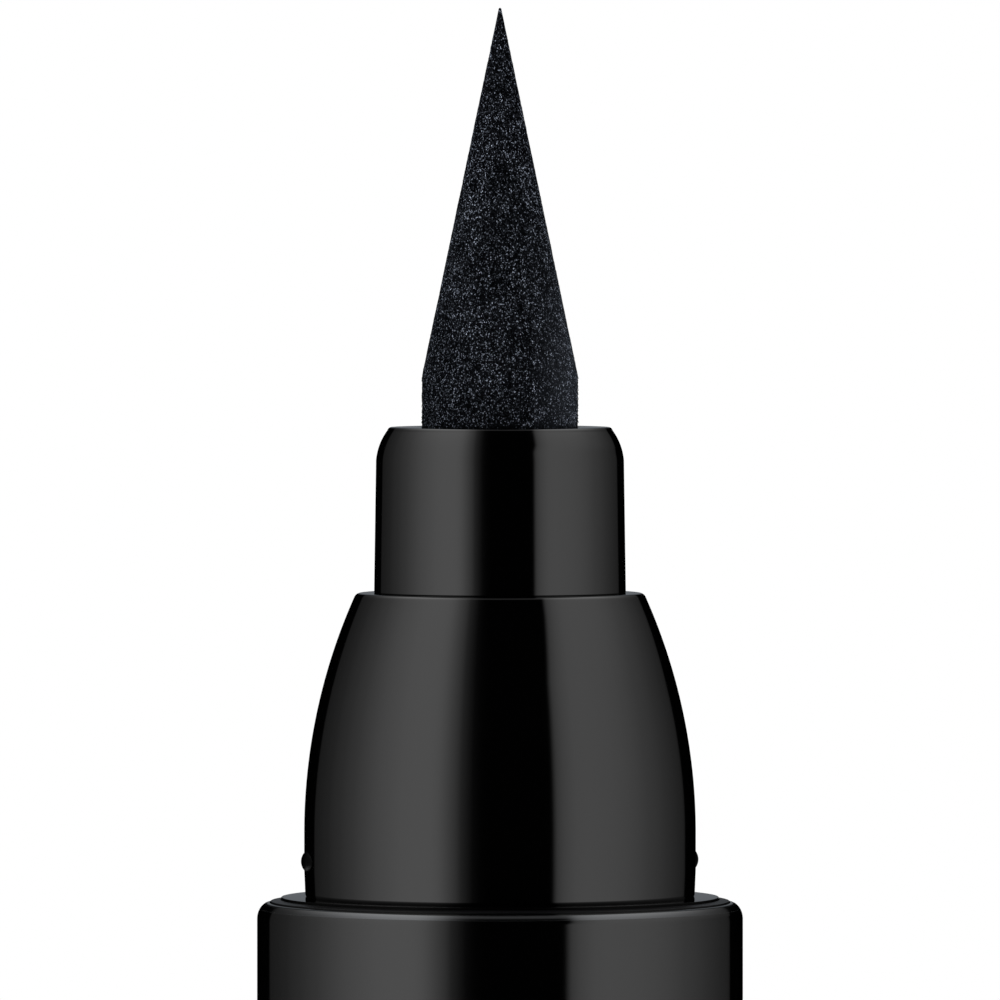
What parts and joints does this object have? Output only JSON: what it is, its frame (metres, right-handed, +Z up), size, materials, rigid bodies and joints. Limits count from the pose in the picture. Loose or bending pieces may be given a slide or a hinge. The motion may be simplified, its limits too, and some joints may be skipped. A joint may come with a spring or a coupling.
{
  "type": "liquid eyeliner pen",
  "caption": "Slim black liquid eyeliner pen with a pointed felt nib, a comb ink feed inside, and its sprung cap posted on the tail as a stand.",
  "frame": {"origin": "middle of the closed end of the cap, on which the pen stands", "axes": "+Z up along the pen's axis towards the nib; X and Y across it, with the pair of snap nubs near the X axis"},
  "size_m": [0.01, 0.01, 0.1423],
  "materials": {
    "felt": "ink-soaked pressed fibre",
    "black_plastic": "polished moulding",
    "black_lacquer": "gloss lacquer on a drawn sleeve",
    "tank_plastic": "moulded",
    "natural_plastic": "natural moulding",
    "inner_plastic": "soft milky moulding",
    "wick_fibre": "ink-soaked fibre rod",
    "seal_rubber": "satin",
    "steel_ball": "polished",
    "spring_wire": "drawn wire"
  },
  "bodies": {
    "cap": {"cap_shell": "black_lacquer", "cap_liner": "tank_plastic", "spring_seat": "natural_plastic", "cap_spring": "spring_wire"},
    "pen": {"felt_nib": "felt", "nib_holder": "black_plastic", "front_section": "black_plastic", "front_oring": "seal_rubber", "relay_wick": "wick_fibre", "ink_collector": "natural_plastic", "ball_seat": "natural_plastic", "ink_tank": "tank_plastic", "outer_barrel": "black_lacquer", "tail_plug": "black_plastic"},
    "inner_cap": {"inner_cap": "inner_plastic"},
    "mixing_ball": {"mixing_ball": "steel_ball"}
  },
  "joints": [
    {"name": "cap_pull", "type": "slide", "parent": "cap", "child": "pen", "axis": [0, 0, 1], "range_m": [0, 0.012]},
    {"name": "inner_cap_slide", "type": "slide", "parent": "cap", "child": "inner_cap", "axis": [0, 0, -1], "range_m": [0, 0.0014], "stiffness_N_per_m": 60, "springref_m": -0.0002, "deforming": ["cap_spring"]},
    {"name": "ball_rattle", "type": "slide", "parent": "pen", "child": "mixing_ball", "axis": [0, 0, 1], "range_m": [0, 0.042]}
  ]
}
